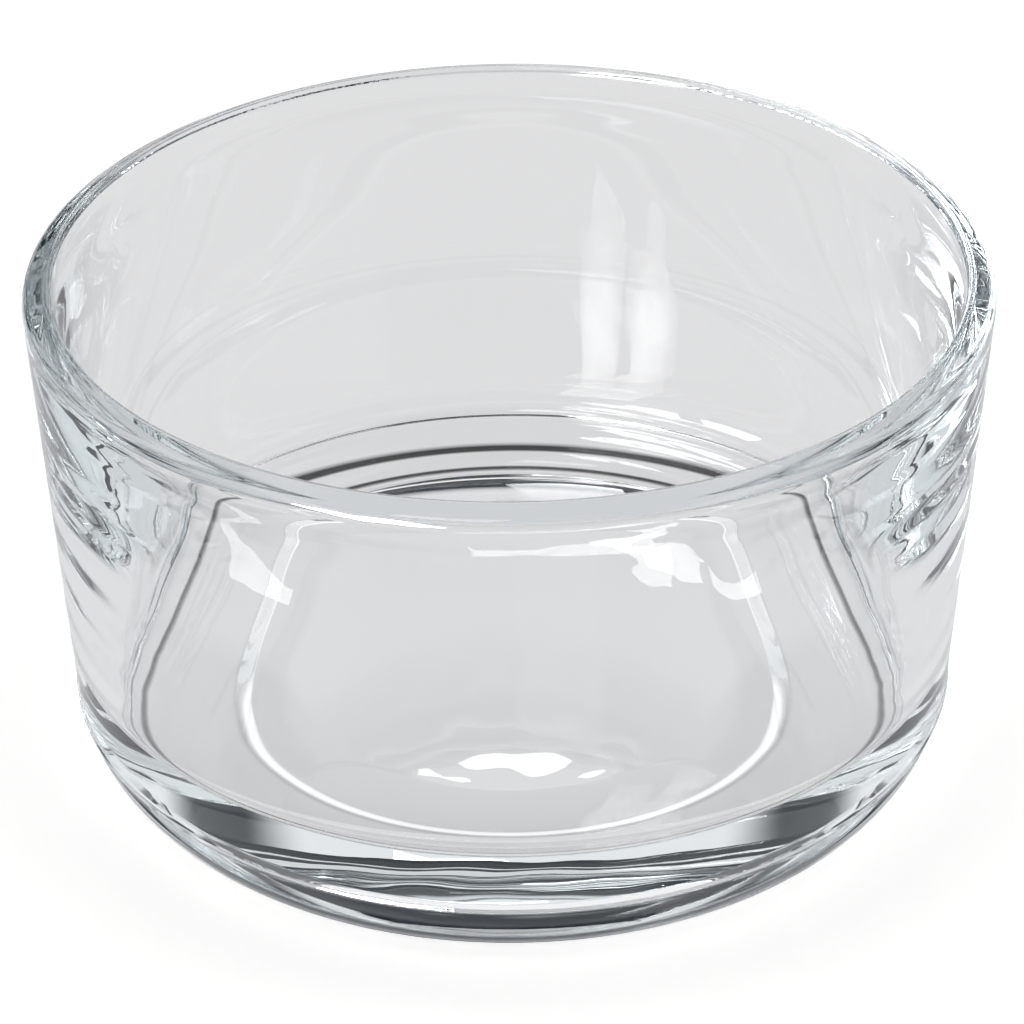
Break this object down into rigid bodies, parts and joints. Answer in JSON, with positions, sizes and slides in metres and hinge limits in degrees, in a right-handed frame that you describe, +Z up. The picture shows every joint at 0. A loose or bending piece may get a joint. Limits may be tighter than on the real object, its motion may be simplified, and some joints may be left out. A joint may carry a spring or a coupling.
{
  "type": "glass bowl",
  "caption": "Round straight-sided serving bowl of clear pressed glass, with a rounded rim, a thick dished floor and a rounded heel, standing on a flat ring.",
  "frame": {"origin": "centre of the foot, on the surface that the bowl stands on", "axes": "+Z up along the bowl's axis, out of its mouth; the bowl is the same all round, so X and Y have no mark on it"},
  "size_m": [0.1198, 0.1198, 0.0658],
  "materials": {
    "clear_glass": "clear soda-lime glass, pressed and fire-polished"
  },
  "bodies": {
    "root": {"glass_bowl": "clear_glass"}
  },
  "joints": []
}
